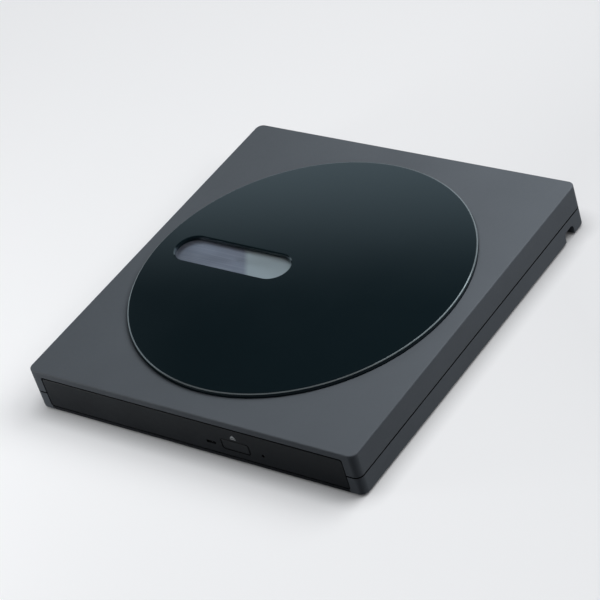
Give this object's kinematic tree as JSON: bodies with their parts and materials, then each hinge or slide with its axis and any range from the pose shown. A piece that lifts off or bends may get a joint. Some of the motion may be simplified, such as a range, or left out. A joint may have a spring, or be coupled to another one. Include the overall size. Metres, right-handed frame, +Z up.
{
  "type": "external disc drive",
  "caption": "Slim external optical disc drive: flat two-part case with a round gloss panel and a disc tray that slides out of the front.",
  "frame": {"origin": "centre of the footprint on the plane that the rubber feet stand on", "axes": "+X to the right seen from the front, +Y from the front bezel to the rear, +Z up"},
  "size_m": [0.14, 0.1468, 0.0197],
  "materials": {
    "case_plastic": "fine satin texture",
    "gloss_panel": "piano gloss",
    "brushed_inlay": "brushed",
    "bezel_plastic": "satin",
    "tray_plastic": "moulded",
    "dark_plastic": "moulded",
    "rubber": "matte",
    "sheet_steel": "zinc-coated sheet",
    "screw_steel": "black zinc",
    "board": "solder resist",
    "chip_plastic": "matte",
    "cast_metal": "as cast",
    "light_guide": "clear smoked",
    "lens_glass": "coated",
    "ribbon_film": "film with copper tracks"
  },
  "bodies": {
    "case": {"top_cover": "case_plastic", "disc_panel": "gloss_panel", "slot_inlay": "brushed_inlay", "bottom_cover": "case_plastic", "foot_front_left": "rubber", "foot_front_right": "rubber", "foot_rear_left": "rubber", "foot_rear_right": "rubber", "case_screw_left": "screw_steel", "case_screw_right": "screw_steel", "cable_gland": "rubber", "adapter_board": "board", "board_screw_left": "screw_steel", "board_screw_right": "screw_steel", "adapter_chip": "chip_plastic", "adapter_socket": "chip_plastic", "drive_chassis": "sheet_steel", "drive_lid": "sheet_steel", "drive_board": "board", "drive_connector": "chip_plastic", "rail_guide_left": "dark_plastic", "rail_guide_right": "dark_plastic", "latch_post": "sheet_steel"},
    "tray": {"tray": "tray_plastic", "tray_bottom_plate": "sheet_steel", "bezel": "bezel_plastic", "button_board": "board", "button_switch": "chip_plastic", "lamp": "light_guide", "lamp_window": "light_guide", "traverse_cover": "sheet_steel", "traverse_frame": "cast_metal", "damper_inner": "rubber", "damper_outer_left": "rubber", "damper_outer_right": "rubber", "spindle_motor": "sheet_steel", "main_guide_rod": "sheet_steel", "sub_guide_rod": "sheet_steel", "sled_motor": "sheet_steel", "tray_board": "board", "tray_chip": "chip_plastic", "solenoid": "cast_metal", "ejector_spring": "sheet_steel"},
    "rail_left": {"rail_left": "sheet_steel"},
    "rail_right": {"rail_right": "sheet_steel"},
    "ribbon": {"flex_ribbon": "ribbon_film"},
    "button": {"eject_button": "bezel_plastic"},
    "turntable": {"turntable": "dark_plastic", "turntable_pad": "rubber"},
    "claw_1": {"claw_1": "dark_plastic"},
    "claw_2": {"claw_2": "dark_plastic"},
    "claw_3": {"claw_3": "dark_plastic"},
    "pickup": {"pickup_body": "cast_metal", "rack_nut": "dark_plastic"},
    "lens": {"lens_holder": "dark_plastic", "lens": "lens_glass"},
    "lead_screw": {"lead_screw": "sheet_steel"},
    "latch": {"latch_lever": "dark_plastic"},
    "plunger": {"solenoid_plunger": "sheet_steel"},
    "ejector": {"ejector_rod": "sheet_steel"}
  },
  "joints": [
    {"name": "tray_slide", "type": "slide", "parent": "case", "child": "tray", "axis": [0, -1, 0], "range_m": [0, 0.118]},
    {"name": "rail_left_slide", "type": "slide", "parent": "case", "child": "rail_left", "axis": [0, -1, 0], "range_m": [0, 0.059]},
    {"name": "rail_right_slide", "type": "slide", "parent": "case", "child": "rail_right", "axis": [0, -1, 0], "range_m": [0, 0.059]},
    {"name": "ribbon_slide", "type": "slide", "parent": "case", "child": "ribbon", "axis": [0, -1, 0], "range_m": [0, 0.059]},
    {"name": "ejector_slide", "type": "slide", "parent": "tray", "child": "ejector", "axis": [0, 1, 0], "range_m": [0, 0.0118]},
    {"name": "button_press", "type": "slide", "parent": "tray", "child": "button", "axis": [0, 1, 0], "range_m": [0, 0.0005], "stiffness_N_per_m": 300},
    {"name": "turntable_spin", "type": "hinge", "parent": "tray", "child": "turntable", "pos_m": [0, -0.008, 0.01], "axis": [0, 0, 1], "continuous": true},
    {"name": "claw_1_slide", "type": "slide", "parent": "turntable", "child": "claw_1", "axis": [0.7071, 0.7071, 0], "range_m": [0, 0.0005], "stiffness_N_per_m": 200},
    {"name": "claw_2_slide", "type": "slide", "parent": "turntable", "child": "claw_2", "axis": [-0.9659, 0.2588, 0], "range_m": [0, 0.0005], "stiffness_N_per_m": 200},
    {"name": "claw_3_slide", "type": "slide", "parent": "turntable", "child": "claw_3", "axis": [0.2588, -0.9659, 0], "range_m": [0, 0.0005], "stiffness_N_per_m": 200},
    {"name": "pickup_slide", "type": "slide", "parent": "tray", "child": "pickup", "axis": [-0.7071, -0.7071, 0], "range_m": [0, 0.031]},
    {"name": "lead_screw_spin", "type": "hinge", "parent": "tray", "child": "lead_screw", "pos_m": [-0.00919, 0.00119, 0.0066], "axis": [-0.7071, -0.7071, 0], "range_deg": [0, 3721]},
    {"name": "lens_focus", "type": "slide", "parent": "pickup", "child": "lens", "axis": [0, 0, 1], "range_m": [-0.0003, 0.0004], "stiffness_N_per_m": 50},
    {"name": "latch_swing", "type": "hinge", "parent": "tray", "child": "latch", "pos_m": [0.047, -0.036, 0.005], "axis": [0, 0, 1], "range_deg": [-9, 0]},
    {"name": "plunger_slide", "type": "slide", "parent": "tray", "child": "plunger", "axis": [-1, 0, 0], "range_m": [0, 0.00408], "stiffness_N_per_m": 25}
  ],
  "couplings": [
    {"joint": "rail_left_slide", "follows": "tray_slide", "ratio": 0.5},
    {"joint": "rail_right_slide", "follows": "tray_slide", "ratio": 0.5},
    {"joint": "ribbon_slide", "follows": "tray_slide", "ratio": 0.5},
    {"joint": "ejector_slide", "follows": "tray_slide", "ratio": 0.1},
    {"joint": "lead_screw_spin", "follows": "pickup_slide", "rad_per_m": 2094.4},
    {"joint": "latch_swing", "follows": "plunger_slide", "rad_per_m": -38.462}
  ]
}
